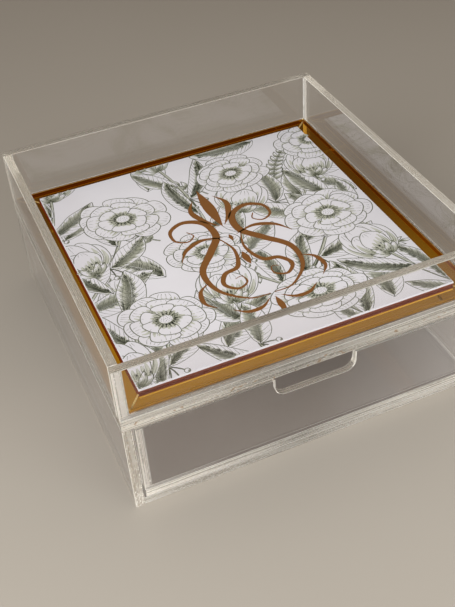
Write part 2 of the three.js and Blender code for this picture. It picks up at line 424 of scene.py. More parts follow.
def cast_acrylic(node, edges):
    """Clear cast acrylic for one sheet: polished faces that show everything behind them, in slow waves,
    and sawn, buffed edges that look pale and finely lined, with white flecks, partly chipped spots and
    partly painted glints, and bright rim lines that are partly painted highlights. Light for other
    pieces passes straight through, and so does the view through a clean weld."""
    material, add = start_material("cast_acrylic_" + node)
    faces = sheet_faces(add, node, edges.axis)
    marks = edge_marks(add, node, edges, faces.cut)
    haze = sheet_haze(add, edges, faces, marks)
    waves = add("Bump", {
        "Height": uneven(add, [WAVE_SIZE] * 3, 1),
        "Strength": 1,
        "Distance": WAVE_DEPTH,
    })[0]
    relief = add("Bump", {
        "Height": marks.saw,
        "Strength": faces.cut,
        "Distance": SAW_DEPTH,
        "Normal": waves,
    })[0]
    colour = edge_colour(add, marks)
    roughness = add("MapRange", {"Value": marks.streaks, "To Min": 0.2, "To Max": 0.4})[0]
    surface = add("BsdfPrincipled", {
        "Base Color": add("Mix", {0: faces.cut, 6: srgb("#fefdfd"), 7: colour}, data_type="RGBA")[2],
        "Roughness": add("Math", {0: roughness, 1: faces.cut}, operation="MULTIPLY")[0],
        "Transmission Weight": add("Math", {0: 1, 1: haze}, operation="SUBTRACT")[0],
        "IOR": ACRYLIC_IOR,
        "Normal": relief,
    })[0]
    passed = add("LightPath")["Is Shadow Ray"]
    if edges.welded:
        spot = add("SeparateXYZ", {"Vector": add("TexCoord")["Object"]})
        clean = add("MapRange", {"Value": spot["X"], "From Min": SMEAR_START, "From Max": WELD_START})[0]
        passed = add("Math", {0: faces.under, 1: clean, 2: passed},
                     operation="MULTIPLY_ADD", use_clamp=True)[0]
    straight = add("BsdfTransparent", {"Color": srgb("#fbfafa")})[0]
    add("OutputMaterial", {"Surface": add("MixShader", {0: passed, 1: surface, 2: straight})[0]})
    return material


def dried_cement():
    """Solvent cement dried in the corners: milky, uneven and full of fine bubbles."""
    material, add = start_material("dried_solvent_cement")
    place = add("TexCoord")["Object"]
    lumps = add("TexNoise", {"Vector": place, "Scale": 1 / (3 * MM), "Detail": 3})["Fac"]
    milky = add("MapRange", {"Value": lumps, "From Min": 0.4, "From Max": 0.6})[0]
    surface = add("BsdfPrincipled", {
        "Base Color": add("Mix", {0: milky, 6: srgb("#e9e4d8"), 7: srgb("#fffdf6")}, data_type="RGBA")[2],
        "Roughness": 0.25,
        "Transmission Weight": 0.35,
        "IOR": ACRYLIC_IOR,
        "Normal": add("Bump", {"Height": lumps, "Strength": 0.6, "Distance": 0.2 * MM})[0],
    })[0]
    add("OutputMaterial", {"Surface": surface})
    return material


def mirror_gold():
    """Gold-faced mirror strip: a warm metal film under clear acrylic, faintly wavy from its backing
    and a little dulled by dust."""
    material, add = start_material("mirror_gold_strip")
    place = add("TexCoord")["Object"]
    waves = add("TexNoise", {"Vector": place, "Scale": 1 / (30 * MM), "Detail": 1})["Fac"]
    dust = add("TexNoise", {"Vector": place, "Scale": 1 / (2 * MM), "Detail": 3})["Fac"]
    surface = add("BsdfPrincipled", {
        "Base Color": add("Mix", {0: waves, 6: srgb("#e4a41a"), 7: srgb("#ecad22")}, data_type="RGBA")[2],
        "Metallic": 1,
        "Roughness": add("MapRange", {"Value": dust, "To Max": 0.06})[0],
        "Coat Weight": 0.15,
        "Coat Roughness": 0.02,
        "Normal": add("Bump", {"Height": waves, "Strength": 0.4, "Distance": 0.05 * MM})[0],
    })[0]
    add("OutputMaterial", {"Surface": surface})
    return material


def satin_gold():
    """The rubbed arris of a strip's lip: the same metal, worn to a soft sheen."""
    material, add = start_material("satin_gold_lip")
    place = add("TexCoord")["Object"]
    rubbing = add("TexNoise", {"Vector": place, "Scale": 1 / (0.7 * MM), "Detail": 2})["Fac"]
    surface = add("BsdfPrincipled", {
        "Base Color": add("Mix", {0: rubbing, 6: srgb("#dca24c"), 7: srgb("#e8b868")}, data_type="RGBA")[2],
        "Metallic": 1,
        "Roughness": 0.3,
        "Normal": add("Bump", {"Height": rubbing, "Strength": 0.3, "Distance": 0.02 * MM})[0],
    })[0]
    add("OutputMaterial", {"Surface": surface})
    return material


def sawn_gold_edge():
    """The sawn mitre of a gold strip: pale, scratched acrylic under the gold film catches the light."""
    material, add = start_material("sawn_gold_strip_edge")
    place = add("TexCoord")["Object"]
    scratches = add("TexNoise", {"Vector": place, "Scale": 1 / (0.8 * MM), "Detail": 2})["Fac"]
    pale = add("MapRange", {"Value": scratches, "From Min": 0.35, "From Max": 0.65})[0]
    surface = add("BsdfPrincipled", {
        "Base Color": add("Mix", {0: pale, 6: srgb("#e2b45a"), 7: srgb("#fbe3a6")}, data_type="RGBA")[2],
        "Roughness": 0.35,
        "Normal": add("Bump", {"Height": scratches, "Strength": 0.5, "Distance": 0.05 * MM})[0],
    })[0]
    add("OutputMaterial", {"Surface": surface})
    return material


def stained_board():
    """Fibreboard with a maroon-brown stain on its cut edge: satin, slightly streaked by the fibres."""
    material, add = start_material("stained_fibreboard")
    place = add("TexCoord")["Object"]
    along = add("Mapping", {"Vector": place, "Scale": (1 / (6 * MM), 1 / (6 * MM), 1 / (0.5 * MM))})[0]
    fibres = add("TexNoise", {"Vector": along, "Scale": 1, "Detail": 3})["Fac"]
    surface = add("BsdfPrincipled", {
        "Base Color": add("Mix", {0: fibres, 6: srgb("#641f04"), 7: srgb("#82340c")}, data_type="RGBA")[2],
        "Roughness": 0.5,
        "Specular IOR Level": 0.25,
        "Normal": add("Bump", {"Height": fibres, "Strength": 0.3, "Distance": 0.05 * MM})[0],
    })[0]
    add("OutputMaterial", {"Surface": surface})
    return material


def gloss_panel():
    """White printed panel: smooth satin coat over a faintly mottled white, and a whiter bare edge."""
    material, add = start_material("white_gloss_panel")
    place = add("TexCoord")
    up = add("SeparateXYZ", {"Vector": place["Normal"]})["Z"]
    face = add("MapRange", {"Value": up, "From Min": 0.4, "From Max": 0.6})[0]
    mottle = add("TexNoise", {"Vector": place["Object"], "Scale": 1 / (35 * MM), "Detail": 2})["Fac"]
    grain = add("TexNoise", {"Vector": place["Object"], "Scale": 1 / (0.6 * MM), "Detail": 2})["Fac"]
    coated = add("Mix", {0: mottle, 6: srgb("#e5e3e8"), 7: srgb("#f0eff5")}, data_type="RGBA")[2]
    surface = add("BsdfPrincipled", {
        "Base Color": add("Mix", {0: face, 6: srgb("#f2f1f4"), 7: coated}, data_type="RGBA")[2],
        "Roughness": 0.38,
        "Normal": add("Bump", {"Height": grain, "Strength": 0.15, "Distance": 0.01 * MM})[0],
    })[0]
    add("OutputMaterial", {"Surface": surface})
    return material


# The sheets: each one's axis of thickness, the haze of its upper edges and of its ends, then whatever
# is not as on most sheets
SHEETS = {
    "case_bottom": Edges("Z", 0.3, 0.42, middle=0.5, right=0.86, flecks=0.1, side=0.4),
    "drawer_bottom": Edges("Z", 0.4, 0.67, middle=0.4, right=0.64, flecks=0.1, side=0.3),
    "case_top": Edges("Z", 0.35, 0.55, middle=0.42, right=0.68, flecks=0.25, stains=0.9, side=0.25),
    "tray_floor": Edges("Z", 0.45, 0.5, middle=0.42, right=0.72, flecks=0.15, side=0.35),
    "case_back": Edges("Y", 0.2, 0.45, flecks=0.2),
    "tray_wall_front": Edges("Y", 0.06, 0.5, middle=0.35, right=1.4, side=0.6, foot=0.6),
    "tray_wall_back": Edges("Y", 0.15, 0.45, flecks=0.2),
    "drawer_front": Edges("Y", 0.12, 0.7, flecks=0.15, rim=0.08, side=0.15, welded=True, film=0.05),
    "drawer_back": Edges("Y", 0.2, 0.4, flecks=0.15),
    "case_side_left": Edges("X", 0.2, 0.2, flecks=0.8, rim=0.5, streaks=0.3, foot=3.0),
    "case_side_right": Edges("X", 0.2, 0.2, flecks=0.8, rim=0.5, streaks=0.3, foot=3.0),
    "tray_wall_left": Edges("X", 0.14, 0.7, flecks=0.9, rim=0.3, foot=0.3),
    "tray_wall_right": Edges("X", 0.46, 0.7, flecks=0.9, rim=0.3, foot=0.3),
    "drawer_side_left": Edges("X", 0.2, 0.55, flecks=0.8, rim=0.3, streaks=0.9),
    "drawer_side_right": Edges("X", 0.2, 0.55, flecks=0.8, rim=0.3, streaks=0.9),
}


def dress_frame_nodes():
    """Gives each CAD node the material of the real piece."""
    gold = mirror_gold()
    finishes = {
        "gold_strip_front": gold, "gold_strip_back": gold,
        "gold_strip_left": gold, "gold_strip_right": gold,
        "insert_board": stained_board(), "print_sheet": gloss_panel(),
    }
    for name, edges in SHEETS.items():
        finishes[name] = cast_acrylic(name, edges)
    for name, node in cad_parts.items():
        node.data.materials.clear()
        node.data.materials.append(finishes[name])


def turn_outwards(shape):
    """Makes all faces of a closed shape look outwards."""
    bmesh.ops.recalc_face_normals(shape, faces=shape.faces)
    if shape.calc_volume(signed=True) < 0:
        bmesh.ops.reverse_faces(shape, faces=shape.faces)


def keep(name, shape, materials, body="case"):
    """Makes a mesh piece of a finished bmesh and lets it ride on its body."""
    turn_outwards(shape)
    mesh = bpy.data.meshes.new(name)
    shape.to_mesh(mesh)
    shape.free()
    for material in materials:
        mesh.materials.append(material)
    piece = bpy.data.objects.new(name, mesh)
    bpy.context.scene.collection.objects.link(piece)
    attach(piece, body)
    return piece


def mitre_lines():
    """At each corner of the border: its outer point and the way to the board's corner."""
    west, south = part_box("gold_strip_left")[0][0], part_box("gold_strip_front")[0][1]
    east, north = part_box("gold_strip_right")[1][0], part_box("gold_strip_back")[1][1]
    low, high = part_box("insert_board")
    return [(Vector((x, y, 0)), Vector((board_x - x, board_y - y, 0)))
            for x, board_x in ((west, low[0]), (east, high[0]))
            for y, board_y in ((south, low[1]), (north, high[1]))]


def border_strip(name, turn, finishes):
    """One gold strip: a section of a few points drawn out along X, its lip rubbed round, both ends sawn
    on the line to the board's corner, with a falling arris there, then turned to its own side."""
    low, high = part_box(name)
    back = Matrix.Rotation(-turn, 4, "Z")
    corners = [back @ Vector((x, y, 0)) for x in (low[0], high[0]) for y in (low[1], high[1])]
    left, right = min(c.x for c in corners), max(c.x for c in corners)
    outer, inner = min(c.y for c in corners), max(c.y for c in corners)
    foot, top = low[2], high[2]
    leg = foot + LEG_THICKNESS
    lip = outer + LIP_THICKNESS
    section = [(outer, foot), (inner, foot), (inner, leg), (lip, leg), (lip, top), (outer, top)]
    shape = bmesh.new()
    loop = [shape.verts.new((left, y, z)) for y, z in section]
    end = shape.faces.new(loop)
    grown = bmesh.ops.extrude_face_region(shape, geom=[end])["geom"]
    moved = [item for item in grown if isinstance(item, bmesh.types.BMVert)]
    bmesh.ops.translate(shape, verts=moved, vec=(right - left, 0, 0))

    def long_edges(y, z):
        """The edges along X at one corner of the section."""
        return [edge for edge in shape.edges
                if all(abs(v.co.y - y) < NEAR and abs(v.co.z - z) < NEAR for v in edge.verts)]

    bmesh.ops.bevel(shape, geom=long_edges(outer, top), offset=OUTER_ARRIS, offset_type="OFFSET",
                    segments=OUTER_STEPS, affect="EDGES", profile=0.5, material=-1)
    rubbed = bmesh.ops.bevel(shape, geom=long_edges(lip, top), offset=INNER_ROUND, offset_type="OFFSET",
                             segments=INNER_STEPS, affect="EDGES", profile=0.5, material=-1)
    for face in rubbed["faces"]:
        face.material_index = LIP_FINISH
    for place, way in ((left, -1), (right, 1)):
        mitre = Vector((place, outer, foot))
        turned = [(back @ corner, back @ toward) for corner, toward in mitre_lines()]
        toward = min(turned, key=lambda pair: (pair[0] - Vector((place, outer, 0))).length)[1]
        across = Vector((way * abs(toward.y), abs(toward.x), 0)).normalized()
        cut = bmesh.ops.bisect_plane(shape, geom=shape.verts[:] + shape.edges[:] + shape.faces[:],
                                     plane_co=mitre, plane_no=across, clear_outer=True)
        rim = [item for item in cut["geom_cut"] if isinstance(item, bmesh.types.BMEdge)]
        bmesh.ops.holes_fill(shape, edges=rim)
        bmesh.ops.bisect_plane(shape, geom=shape.verts[:] + shape.edges[:] + shape.faces[:],
                               plane_co=mitre - across * MITRE_BAND, plane_no=across)
        turn_outwards(shape)
        for face in shape.faces:
            sawn = all((v.co - mitre).dot(across) > -MITRE_BAND - NEAR for v in face.verts)
            if sawn and face.normal.z > UPWARD_LIMIT:
                face.material_index = MITRE_FINISH
        for vertex in shape.verts:
            if (vertex.co - mitre).dot(across) > -NEAR and vertex.co.z > foot + MITRE_FALL:
                vertex.co.z -= MITRE_FALL
    bmesh.ops.rotate(shape, verts=shape.verts, cent=(0, 0, 0), matrix=Matrix.Rotation(turn, 3, "Z"))
    piece = keep(name + "_rounded", shape, finishes)
    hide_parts(name)


def build_border():
    """The four gold strips with their rubbed lips and sawn mitres."""
    finishes = (mirror_gold(), satin_gold(), sawn_gold_edge())
    sides = (("front", 0), ("right", math.pi / 2), ("back", math.pi), ("left", -math.pi / 2))
    for side, turn in sides:
        border_strip("gold_strip_" + side, turn, finishes)


def bead(shape, corner, way, across, up, radius):
    """A small round-sided bead of cement: from a corner point along one way, filling the angle
    between two sheets, one to each side."""
    rounds = [math.pi / 2 * step / BEAD_STEPS for step in range(BEAD_STEPS + 1)]
    centre = corner + (across + up) * (radius + BEAD_GAP)
    edge = [centre - across * radius * math.cos(a) - up * radius * math.sin(a) for a in rounds]
    tip = corner + (across + up) * BEAD_GAP
    loop = [shape.verts.new(point) for point in [tip] + edge]
    grown = bmesh.ops.extrude_face_region(shape, geom=[shape.faces.new(loop)])["geom"]
    moved = [item for item in grown if isinstance(item, bmesh.types.BMVert)]
    bmesh.ops.translate(shape, verts=moved, vec=way)


def build_cement():
    """Beads in the upright corners of the tray and of the drawer."""
    cement = dried_cement()
    rooms = (
        ("cement_in_tray", "case", BEAD_RADIUS,
         "tray_wall_left", "tray_wall_right", "tray_wall_front", "tray_wall_back"),
        ("cement_in_drawer", "drawer", DRAWER_BEAD_RADIUS,
         "drawer_side_left", "drawer_side_right", "drawer_front", "drawer_back"),
    )
    for name, body, radius, left, right, front, back in rooms:
        west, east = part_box(left)[1][0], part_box(right)[0][0]
        south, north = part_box(front)[1][1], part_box(back)[0][1]
        foot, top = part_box(left)[0][2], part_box(left)[1][2]
        shape = bmesh.new()
        rise = Vector((0, 0, top - foot - 2 * radius))
        for x, y, toward_x, toward_y in ((west, south, 1, 1), (east, south, -1, 1),
                                         (west, north, 1, -1), (east, north, -1, -1)):
            corner = Vector((x, y, foot + radius))
            bead(shape, corner, rise, Vector((toward_x, 0, 0)), Vector((0, toward_y, 0)), radius)
        keep(name, shape, [cement], body)


def blade(base, turn, length, width, bend, shape, ripple=0.0, phase=0.0):
    """A petal or leaf on a bent midrib, with a ripple in its edge: gives the function that finds the
    point at a share of its width, from -1 to 1, and a share of its length."""
    rise, peak, end = shape

    def body(along):
        return along ** rise * max(0, 1 - along ** peak) ** end

    widest = max(body(step / 50) for step in range(51))

    def place(side, along):
        heading = turn + bend * along
        if abs(bend) < 0.001:
            ahead, up = length * along * math.sin(turn), length * along * math.cos(turn)
        else:
            ahead = length / bend * (math.cos(turn) - math.cos(heading))
            up = length / bend * (math.sin(heading) - math.sin(turn))
        wave = 1 + ripple * math.sin(phase + 11 * along + 2 * side)
        half = side * width / 2 * body(along) / widest * wave
        return base[0] + ahead + half * math.cos(heading), base[1] + up - half * math.sin(heading)

    return place


def tilted(place, centre, turn, tilt):
    """The same shape seen at a slant: squeezed along one direction through a centre."""
    toward = (math.sin(turn), math.cos(turn))

    def seen(side, along):
        x, y = place(side, along)
        x, y = x - centre[0], y - centre[1]
        depth = (x * toward[0] + y * toward[1]) * (tilt - 1)
        return centre[0] + x + depth * toward[0], centre[1] + y + depth * toward[1]

    return seen


def stroke(points, width, start=0.6, middle=1.0, end=0.6):
    """A pen line whose width swells from start to middle and falls to end."""
    last = len(points) - 1
    line = []
    for index, (x, y) in enumerate(points):
        share = index / last
        if share < 0.5:
            swell = start + (middle - start) * share * 2
        else:
            swell = middle + (end - middle) * (share * 2 - 1)
        line.append((x, y, width * swell))
    return line


def outline_points(place, steps=16):
    """The outline of a blade, from its base round its tip and back, with points closest at the tip."""
    shares = [1 - (1 - step / steps) ** 1.7 for step in range(steps + 1)]
    there = [place(-1, along) for along in shares]
    return there + [place(1, along) for along in reversed(shares[:-1])]


def run(place, side, start, stop, steps=6):
    """A line along a blade at one share of its width."""
    return [place(side, start + (stop - start) * step / steps) for step in range(steps + 1)]


def spread(count, reach):
    """Even shares of a blade's width, up to a reach to each side."""
    return [-reach + 2 * reach * (index + 0.5) / count for index in range(count)]


def around(centre, reach, heading, tilt=1.0):
    """The point at a reach and a heading from a centre, seen from above or at a slant."""
    return centre[0] + reach * math.sin(heading), centre[1] + reach * tilt * math.cos(heading)


def ring_points(centre, radius, steps, tilt=1.0):
    """A closed ring of points, seen from above or at a slant."""
    return [around(centre, radius, math.tau * step / steps, tilt) for step in range(steps + 1)]


def petal(draw, place, lines, hidden, reach, pen, shade):
    """One petal: outline, washes at its base that fade outwards, fanned lines from where it shows,
    longer on its shaded side, and short ones at its tip."""
    outline = outline_points(place)
    marks = [("line", stroke(outline, OUTLINE_PEN, 0.7, 1.1, 0.7))]
    bands = max(3, lines // 2)
    breadth = math.dist(place(-1, 0.5), place(1, 0.5)) / bands
    for side in spread(bands, 0.85):
        wash = (1 - hidden) * reach * (0.62 + 0.38 * side * shade) * pen.uniform(0.8, 1.15)
        far, near = min(hidden + 1.2 * wash, 0.96), hidden + 0.6 * wash
        marks.append(("pale", stroke(run(place, side, 0.3 * hidden, far), 1.2 * breadth, 0.9, 1, 0.2)))
        marks.append(("deep", stroke(run(place, side, 0.3 * hidden, near), breadth, 0.9, 0.8, 0.1)))
    for side in spread(lines, 0.9):
        side += pen.uniform(-0.03, 0.03)
        dark = 0.6 + 0.4 * side * shade
        stop = hidden + (1 - hidden) * reach * dark * pen.uniform(0.55, 1.25)
        line = run(place, side, 0.75 * hidden, min(stop, 0.93))
        marks.append(("line", stroke(line, FAN_PEN, 1.1, 0.8, 0.1)))
    for side in spread(lines // 3, 0.6):
        side += pen.uniform(-0.05, 0.05)
        line = run(place, side, 0.93, 0.93 - pen.uniform(0.06, 0.25), 3)
        marks.append(("line", stroke(line, TIP_PEN, 1, 0.7, 0.1)))
    draw.append((outline, marks))


def leaf(draw, base, turn, length, width, bend, pen):
    """A leaf with a double midrib and curved side veins, washed and hatched darker on one half."""
    place = blade(base, turn, length, width, bend, BROAD_LEAF, 0.05, pen.uniform(0, 6))

    def vein(side, start, shares, reach=1):
        """A line from the midrib towards the edge on one side, curving up to the tip."""
        return [place(side * share * reach, start + VEIN_RISE * share ** VEIN_CURVE) for share in shares]

    outline = outline_points(place, 20)
    dark = pen.choice((-1, 1))
    marks = [("line", stroke(outline, OUTLINE_PEN, 0.7, 1.1, 0.7))]
    for side in (-MIDRIB_GAP, MIDRIB_GAP):
        marks.append(("line", stroke(run(place, side, 0.0, 0.96, 12), MIDRIB_PEN, 1.2, 0.9, 0.3)))
    veins = max(4, int(length / VEIN_SPACING))
    for index in range(veins):
        start = VEINS_FOOT + VEINS_LENGTH * index / veins
        for side in (-1, 1):
            marks.append(("line", stroke(vein(side, start, VEIN_SHARES, 0.95), VEIN_PEN, 1, 0.8, 0.3)))
            for step in range(3):
                between = start + VEINS_LENGTH / veins * (step + 0.5) / 3
                depth = pen.uniform(0.65, 0.98) if side == dark else pen.uniform(0.2, 0.5)
                line = vein(side, between, [share * depth for share in VEIN_SHARES])
                marks.append(("pale", stroke(line, length / veins / 2.4, 1, 1, 0.3)))
                if side == dark:
                    shade = vein(side, between, SHADE_SHARES)
                    marks.append(("deep", stroke(shade, length / veins / 2.6, 1, 0.9, 0.4)))
                if step == 1 or side == dark:
                    marks.append(("line", stroke(line, HATCH_PEN, 1.1, 0.7, 0.1)))
    draw.append((outline, marks))


def smooth_path(knots):
    """A smooth line through a few knots."""
    padded = [knots[0]] + list(knots) + [knots[-1]]
    points = []
    for before, here, there, after in zip(padded, padded[1:], padded[2:], padded[3:]):
        count = max(2, int(math.dist(here, there) / ORNAMENT_STEP))
        for index in range(count):
            t = index / count
            points.append(tuple(0.5 * (2 * b + (c - a) * t + (2 * a - 5 * b + 4 * c - d) * t * t
                                       + (3 * b - a - 3 * c + d) * t ** 3)
                                for a, b, c, d in zip(before, here, there, after)))
    return points + [knots[-1]]


def stem(draw, points, width, pen):
    """A round stem: two edges, and short slanted marks down its shaded side."""
    left, right, ways = [], [], []
    marks = []
    for index in range(len(points)):
        one, two = points[max(0, index - 1)], points[min(len(points) - 1, index + 1)]
        size = math.dist(one, two) or 1
        ways.append(((two[1] - one[1]) / size, -(two[0] - one[0]) / size))
    for (x, y), (across, down) in zip(points, ways):
        left.append((x - across * width / 2, y - down * width / 2))
        right.append((x + across * width / 2, y + down * width / 2))
    for index in range(len(points) - 3):
        reach = pen.uniform(0.3, 0.8)
        stop = tuple(a + (b - a) * reach for a, b in zip(right[index + 2], left[index + 2]))
        marks.append(("line", stroke([right[index], stop], SHADE_PEN, 1.1, 0.7, 0.1)))
    marks.append(("line", stroke(left, STEM_PEN, 0.9, 1, 0.9)))
    marks.append(("line", stroke(right, OUTLINE_PEN, 0.9, 1, 0.9)))
    shaded = [((a + c) / 2, (b + d) / 2) for (a, b), (c, d) in zip(points, right)]
    marks.append(("pale", stroke(points, width * 0.9, 1, 1, 1)))
    marks.append(("deep", stroke(shaded, width * 0.5, 1, 1, 1)))
    draw.append((left + right[::-1], marks))


def open_blossom(draw, centre, across, turn, tilt, pen):
    """A many-petalled blossom seen from above at a slant: three rings of petals round its stamens."""
    for count, length, width, hidden, reach, lines in PETAL_RINGS:
        first = pen.uniform(0, math.tau)
        order = sorted(range(count), key=lambda index: -math.cos(first + math.tau * index / count))
        for index in order:
            heading = turn + first + math.tau * index / count + pen.uniform(-0.1, 0.1)
            base = around(centre, 0.03 * across, heading)
            size = across * length * pen.uniform(0.92, 1.08)
            place = blade(base, heading, size, across * width * pen.uniform(0.9, 1.1),
                          pen.uniform(-0.35, 0.35), ROUND_PETAL, 0.05, pen.uniform(0, 6))
            petal(draw, tilted(place, centre, turn, tilt), lines, hidden, reach, pen, math.sin(heading))
    heart = across * HEART_SHARE
    eye = ring_points(centre, heart, 20, tilt)
    marks = [("line", stroke(eye, MIDRIB_PEN, 1, 1, 1)), ("pale", [(x, y, 1.2) for x, y in eye])]
    for index in range(INNER_STAMENS):
        reach = heart * math.sqrt((index + 0.5) / INNER_STAMENS) * 0.85
        spot = around(centre, reach, index * STAMEN_TURN, tilt)
        marks.append(("line", stroke([spot, (spot[0] + 0.3, spot[1] + 0.35)], STAMEN_PEN, 1, 1, 0.6)))
    for index in range(OUTER_STAMENS):
        heading = math.tau * index / OUTER_STAMENS + pen.uniform(-0.08, 0.08)
        inner = around(centre, heart, heading, tilt)
        outer = around(centre, heart * pen.uniform(1.4, 1.9), heading, tilt)
        marks.append(("line", stroke([inner, outer], TIP_PEN, 1, 0.8, 0.7)))
        marks.append(("line", stroke([outer, (outer[0] + 0.5, outer[1] + 0.2)], POLLEN_PEN, 0.8, 1, 0.5)))
    draw.append((eye, []))
    draw.append((None, marks))


def cup_blossom(draw, base, height, turn, pen):
    """A half-open blossom from the side: petals folded into a cup on small sepals."""
    for lean, share in CUP_PETALS:
        lean = lean + pen.uniform(-0.06, 0.06)
        place = blade(base, turn + lean, height * share, height * 0.46, -lean * 1.1, CUPPED_PETAL,
                      0.04, pen.uniform(0, 6))
        petal(draw, place, 10, 0.3, 0.55, pen, math.copysign(1, lean))
    for lean in SEPAL_LEANS:
        place = blade(base, turn + lean, height * 0.34, height * 0.13, -lean * 0.6, NARROW_LEAF)
        petal(draw, place, 6, 0.1, 0.8, pen, 1)


def sprig(draw, base, turn, length, bend, pen):
    """A thin twig with pairs of small leaves."""
    place = blade(base, turn, length, 1, bend, NARROW_LEAF)
    spine = [place(0, step / 20) for step in range(21)]
    stem(draw, spine, SPRIG_WIDTH, pen)
    pairs = int(length / PAIR_SPACING)
    for index in range(1, pairs + 1):
        along = index / (pairs + 0.5)
        spot = place(0, along)
        heading = turn + bend * along
        size = length * 0.25 * (1.15 - 0.5 * along)
        for side in (-1, 1):
            leaflet = blade(spot, heading + side * 0.85, size, size * 0.36, -side * 0.5, NARROW_LEAF)
            petal(draw, leaflet, 5, 0.1, 0.7, pen, side)
    tip = blade(place(0, 1), turn + bend, length * 0.2, length * 0.07, 0, NARROW_LEAF)
    petal(draw, tip, 5, 0.1, 0.7, pen, 1)


def berry(draw, centre):
    """A round bud with a shaded side."""
    ring = ring_points(centre, BERRY_RADIUS, 18)
    marks = [("line", stroke(ring, BERRY_PEN, 1, 1, 1))]
    for step in range(3):
        inner = BERRY_RADIUS * (0.8 - 0.2 * step)
        arc = [around(centre, inner, heading) for heading in (1.2, 1.7, 2.2, 2.7, 3.2)]
        marks.append(("line", stroke(arc, SHADE_PEN, 0.4, 1, 0.4)))
        marks.append(("deep", stroke(arc, 0.2 * BERRY_RADIUS, 0.6, 1, 0.6)))
    draw.append((ring, marks))


def cover(grid, columns, outline, mark):
    """Marks the cells inside an outline as covered by that layer."""
    rows = len(grid)
    heights = [y for _, y in outline]
    low = max(0, int(min(heights) / INK_CELL + rows / 2))
    high = min(rows - 1, int(max(heights) / INK_CELL + rows / 2))
    edges = list(zip(outline, outline[1:] + outline[:1]))
    for row in range(low, high + 1):
        level = (row + 0.5 - rows / 2) * INK_CELL
        crossings = sorted(
            one[0] + (level - one[1]) * (two[0] - one[0]) / (two[1] - one[1])
            for one, two in edges if (one[1] > level) != (two[1] > level)
        )
        for start, stop in zip(crossings[::2], crossings[1::2]):
            first = max(0, int(start / INK_CELL + columns / 2))
            last = min(columns, int(stop / INK_CELL + columns / 2) + 1)
            if last > first:
                grid[row][first:last] = array("H", [mark]) * (last - first)


def visible_marks(layers, width, depth):
    """Cuts every mark where a later layer covers it, or where the panel ends, and sorts the marks
    by their ink."""
    columns, rows = int(width / INK_CELL), int(depth / INK_CELL)
    grid = [array("H", [0]) * columns for _ in range(rows)]
    for mark, (outline, _) in enumerate(layers, 1):
        if outline:
            cover(grid, columns, outline, mark)

    def seen_parts(line, mark):
        """The stretches of one layer's line that stay in view."""
        part = []
        for one, two in zip(line, line[1:]):
            count = max(1, math.ceil(math.dist(one[:2], two[:2]) / INK_STEP))
            for index in range(count):
                share = index / count
                x, y, size = (a + (b - a) * share for a, b in zip(one, two))
                column, row = int(x / INK_CELL + columns / 2), int(y / INK_CELL + rows / 2)
                inside = 1 < column < columns - 2 and 1 < row < rows - 2
                if inside and grid[row][column] <= mark:
                    part.append((x, y, size))
                else:
                    if len(part) > 1:
                        yield part
                    part = []
        if part:
            yield part + [line[-1]]

    sorted_marks = {"line": [], "deep": [], "pale": []}
    for mark, (_, marks) in enumerate(layers, 1):
        for ink, line in marks:
            sorted_marks[ink].extend(seen_parts(line, mark))
    return sorted_marks


def botanical(width, depth):
    """All layers of the print, from the back of the picture to its front."""
    pen = random.Random(PRINT_SEED)
    stems, leaves, buds, blossoms = [], [], [], []
    for x, y, kind, size, heading, bend in FILLERS:
        spot = (x * width / 2, y * depth / 2)
        if kind == "leaf":
            leaf(stems, spot, heading, size, size * 0.42, bend, pen)
        else:
            sprig(stems, spot, heading, size, bend, pen)
    for x, y, kind, size, heading, length, bend, count in SPRAYS:
        centre = (x * width / 2, y * depth / 2)
        place = blade(centre, heading, length, 1, bend, NARROW_LEAF)
        spine = [place(0, step / 60) for step in range(61)]
        stem(stems, spine, STEM_WIDTH, pen)
        for index in range(count):
            along = 0.28 + 0.62 * index / (count - 1)
            side = 1 if index % 2 else -1
            way = heading + bend * along + math.pi + side * pen.uniform(0.5, 0.9)
            leaf(leaves, place(0, along), way, pen.uniform(38, 58), pen.uniform(13, 21),
                 -side * pen.uniform(0.3, 0.8), pen)
            if index == 1:
                for lean in (-0.5, 0.1, 0.6):
                    turn = way + math.pi * 0.5 * side + lean
                    twig = blade(place(0, along), turn, TWIG_LENGTH, 1, 0.3, NARROW_LEAF)
                    stem(leaves, [twig(0, step / 6) for step in range(7)], TWIG_WIDTH, pen)
                    berry(leaves, twig(0, 1.1))
        if kind == "open":
            open_blossom(blossoms, centre, size, pen.uniform(-0.5, 0.5), pen.uniform(0.72, 0.9), pen)
        else:
            cup_blossom(buds, centre, size, heading + math.pi, pen)
    return stems + leaves + buds + blossoms


def swelling(points, thin, thick):
    """A broad-nib line: thin at both ends, thick in its middle."""
    last = len(points) - 1
    return [(x, y, thin + (thick - thin) * abs(math.sin(math.pi * index / last)) ** 1.5)
            for index, (x, y) in enumerate(points)]


